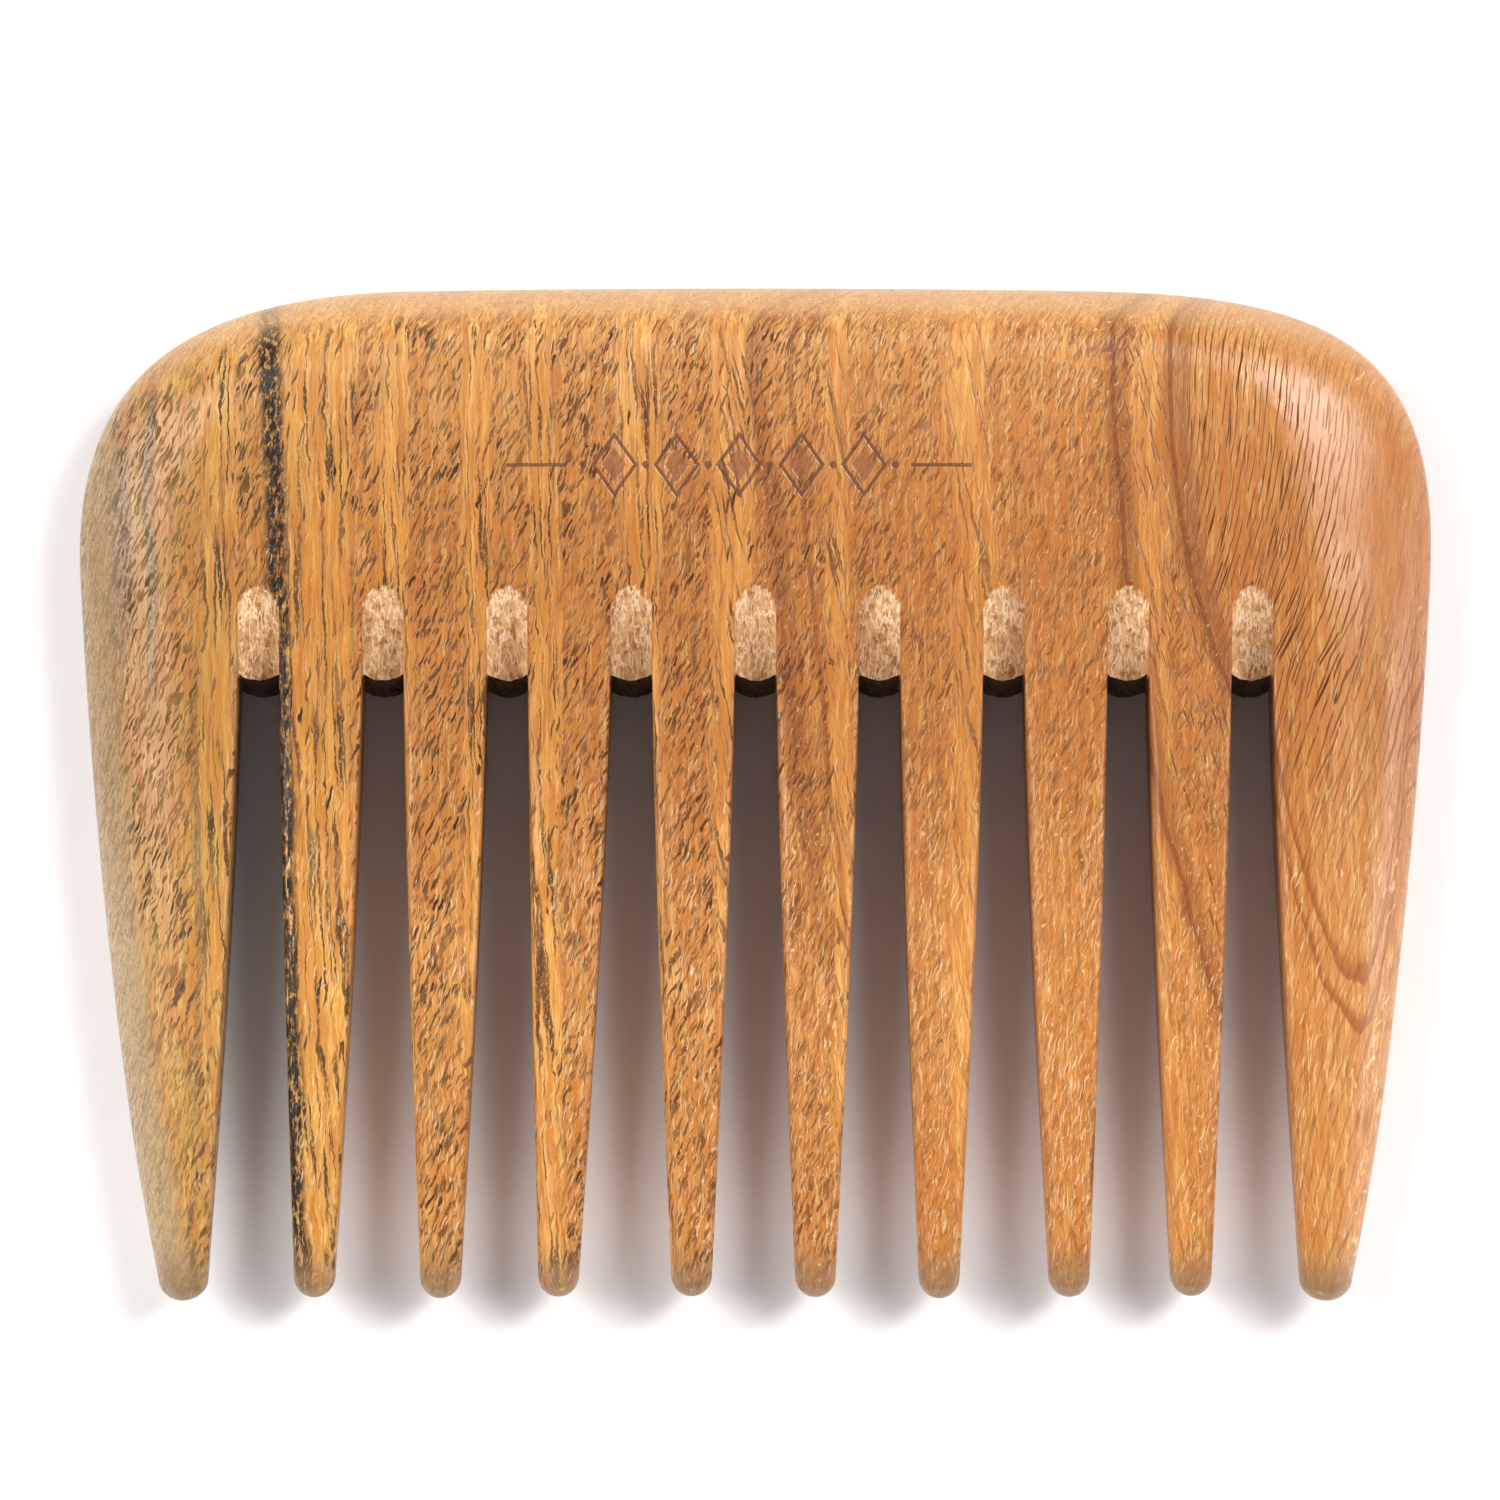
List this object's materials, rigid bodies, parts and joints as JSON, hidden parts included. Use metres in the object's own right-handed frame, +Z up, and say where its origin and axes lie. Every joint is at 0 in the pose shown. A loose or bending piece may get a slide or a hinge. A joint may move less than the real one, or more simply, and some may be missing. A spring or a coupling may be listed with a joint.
{
  "type": "wide tooth comb",
  "caption": "Pocket wide tooth hair comb carved from one hardwood board: rounded spine, tapered teeth with rounded tips, wider guard teeth at both ends, ramped gullets.",
  "frame": {"origin": "centre of the footprint, on the surface that the comb lies on", "axes": "+X along the spine, +Y from the tooth tips to the spine, +Z up through the thickness, out of the front face"},
  "size_m": [0.1001, 0.075, 0.011],
  "materials": {
    "oiled_hardwood": "satin oiled open-pored hardwood, grain along the teeth"
  },
  "bodies": {
    "root": {"comb": "oiled_hardwood"}
  },
  "joints": []
}
